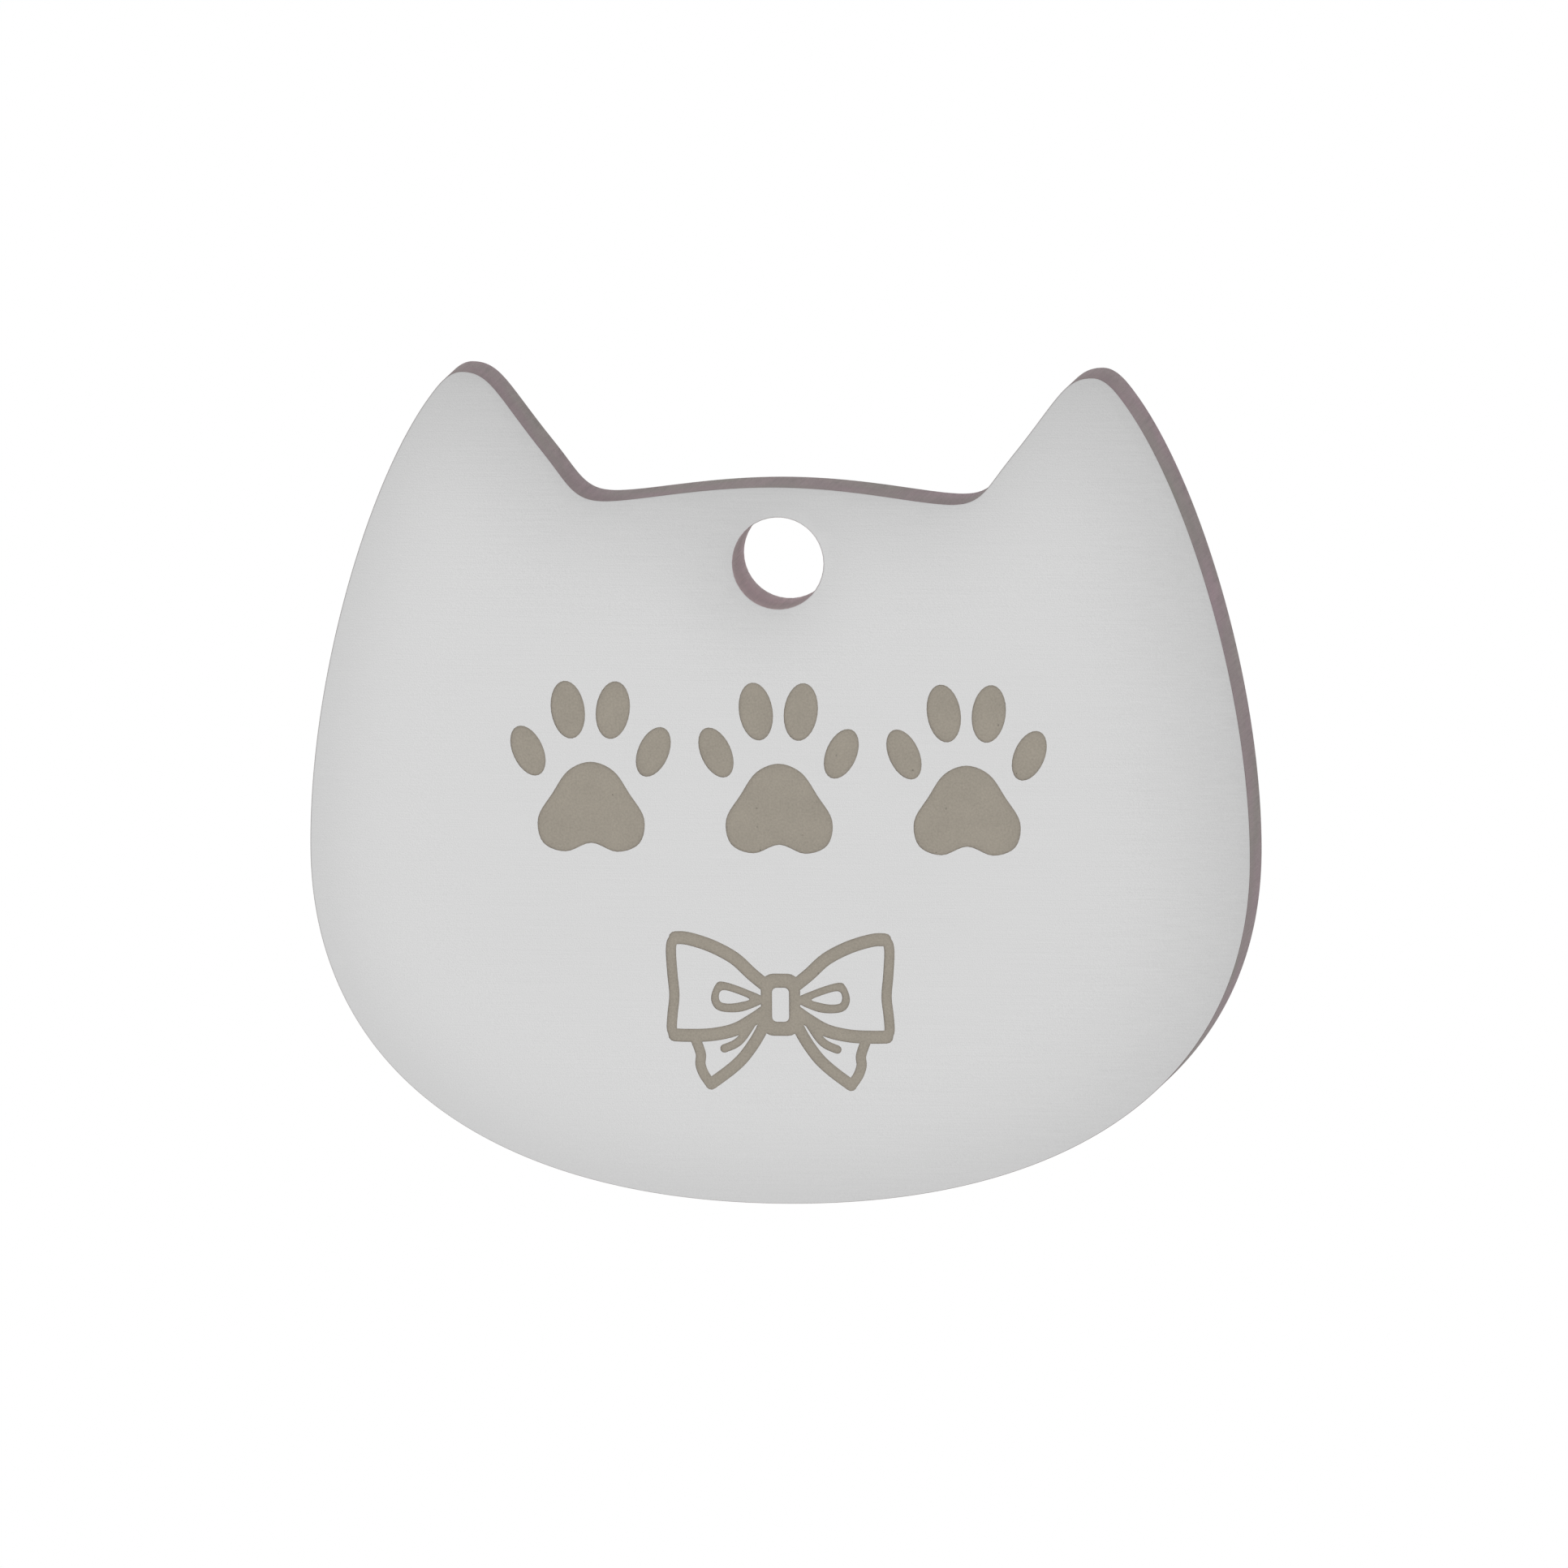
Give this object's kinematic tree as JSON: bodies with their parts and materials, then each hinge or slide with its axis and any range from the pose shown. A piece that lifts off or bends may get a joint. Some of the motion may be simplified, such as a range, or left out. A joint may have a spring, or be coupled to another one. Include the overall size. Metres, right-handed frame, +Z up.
{
  "type": "pet id tag",
  "caption": "Flat metal tag cut as a cat's head with two ears, a round hole for a split ring, and an engraved, resin-filled bow under a row of paw prints.",
  "frame": {"origin": "middle of the ring hole, halfway through the plate's thickness", "axes": "+Z up towards the ears, -Y out of the engraved face, +X to the right as the face is read"},
  "size_m": [0.031, 0.003, 0.0273],
  "materials": {
    "steel": "satin",
    "resin": "matte"
  },
  "bodies": {
    "root": {"tag_plate": "steel", "bow_fill": "resin", "left_paw_pad_fill": "resin", "left_paw_outer_left_toe_fill": "resin", "left_paw_inner_left_toe_fill": "resin", "left_paw_inner_right_toe_fill": "resin", "left_paw_outer_right_toe_fill": "resin", "middle_paw_pad_fill": "resin", "middle_paw_outer_left_toe_fill": "resin", "middle_paw_inner_left_toe_fill": "resin", "middle_paw_inner_right_toe_fill": "resin", "middle_paw_outer_right_toe_fill": "resin", "right_paw_pad_fill": "resin", "right_paw_outer_left_toe_fill": "resin", "right_paw_inner_left_toe_fill": "resin", "right_paw_inner_right_toe_fill": "resin", "right_paw_outer_right_toe_fill": "resin"}
  },
  "joints": []
}
